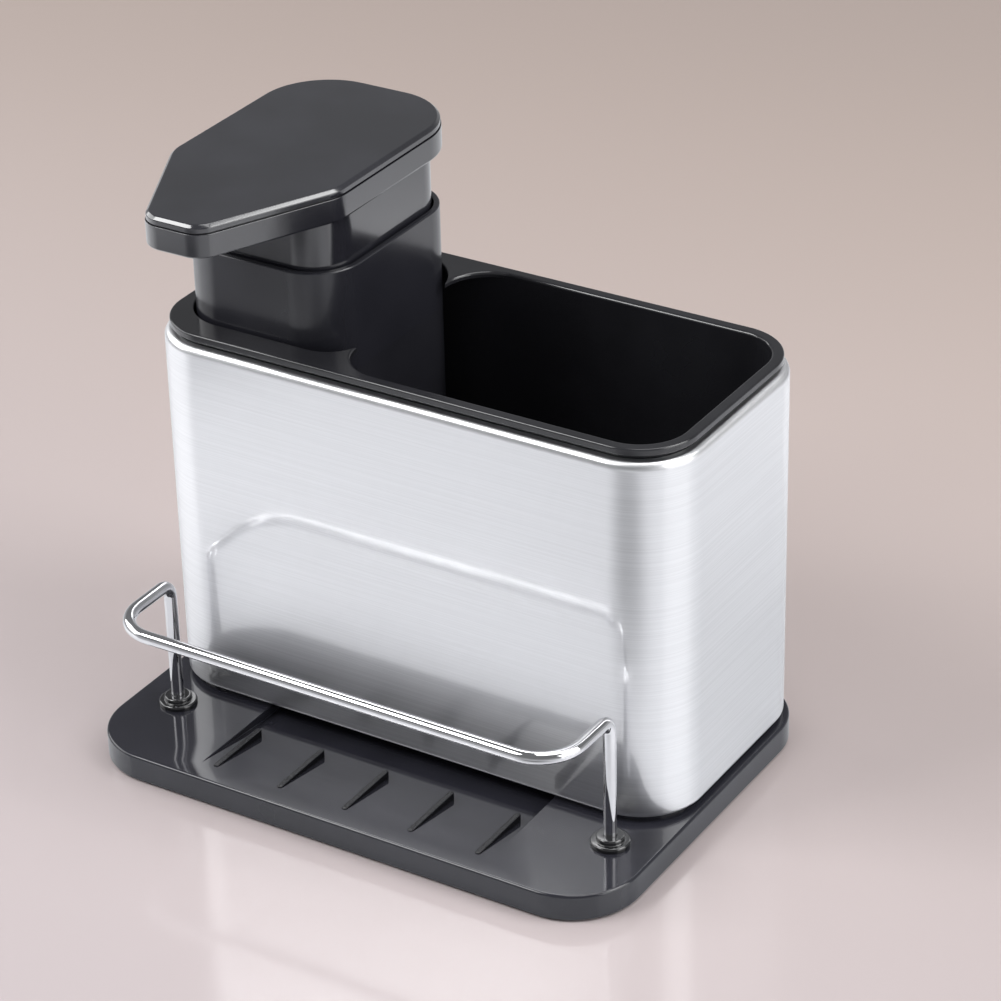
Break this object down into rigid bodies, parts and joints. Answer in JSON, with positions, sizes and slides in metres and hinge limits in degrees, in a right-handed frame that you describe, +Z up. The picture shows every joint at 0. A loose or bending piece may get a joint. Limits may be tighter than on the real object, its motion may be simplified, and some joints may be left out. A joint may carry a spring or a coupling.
{
  "type": "soap pump caddy",
  "caption": "Sink caddy: black drip tray with wire rail, brushed steel sleeve with lift-out tub, and a refillable soap bottle whose whole top presses down to pump.",
  "frame": {"origin": "centre of the footprint, on the plane that the feet stand on", "axes": "+Z up; the rail and the nose of the press head point along -Y; the soap bottle stands at the -X end"},
  "size_m": [0.21, 0.15, 0.2087],
  "materials": {
    "tray_black": "gloss charcoal",
    "foot_rubber": "matte",
    "sleeve_steel": "brushed along its length, polished at the rolled edge",
    "rail_chrome": "polished",
    "screw_steel": "plated",
    "ring_black": "gloss black",
    "tub_black": "gloss charcoal",
    "tank_grey": "gloss charcoal",
    "collar_black": "gloss charcoal",
    "seal_rubber": "matte grey",
    "closure_black": "satin",
    "pump_white": "natural white",
    "spring_steel": "bright wire",
    "head_black": "satin gloss charcoal",
    "nozzle_black": "satin"
  },
  "bodies": {
    "base": {"base_tray": "tray_black", "tray_feet": "foot_rubber", "steel_sleeve": "sleeve_steel", "sleeve_screws": "screw_steel", "sleeve_nuts": "screw_steel", "wire_rail": "rail_chrome", "leg_rings": "ring_black", "rail_washers": "screw_steel", "rail_nuts": "screw_steel"},
    "tub": {"inner_tub": "tub_black"},
    "bottle": {"soap_tank": "tank_grey", "bottle_collar": "collar_black", "tank_seal": "seal_rubber"},
    "pump_unit": {"closure_plate": "closure_black", "closure_gasket": "seal_rubber", "pump_cylinder": "pump_white", "pump_ring": "closure_black", "stem_guide": "pump_white", "ball_cage": "pump_white", "inlet_ball": "spring_steel", "dip_tube": "pump_white", "return_spring": "spring_steel"},
    "press_head": {"press_stem": "pump_white", "pump_piston": "pump_white", "piston_seal": "seal_rubber", "head_panel": "head_black", "head_housing": "head_black", "press_skirt": "head_black", "head_screws": "screw_steel", "outlet_duct": "pump_white", "nozzle_tip": "nozzle_black"}
  },
  "joints": [
    {"name": "tub_lift", "type": "slide", "parent": "base", "child": "tub", "axis": [0, 0, 1], "range_m": [0, 0.14]},
    {"name": "bottle_lift", "type": "slide", "parent": "tub", "child": "bottle", "axis": [0, 0, 1], "range_m": [0, 0.14]},
    {"name": "refill_lift", "type": "slide", "parent": "bottle", "child": "pump_unit", "axis": [0, 0, 1], "range_m": [0, 0.16]},
    {"name": "head_press", "type": "slide", "parent": "pump_unit", "child": "press_head", "axis": [0, 0, -1], "range_m": [0, 0.014], "stiffness_N_per_m": 400, "springref_m": -0.01, "deforming": ["return_spring"]}
  ]
}
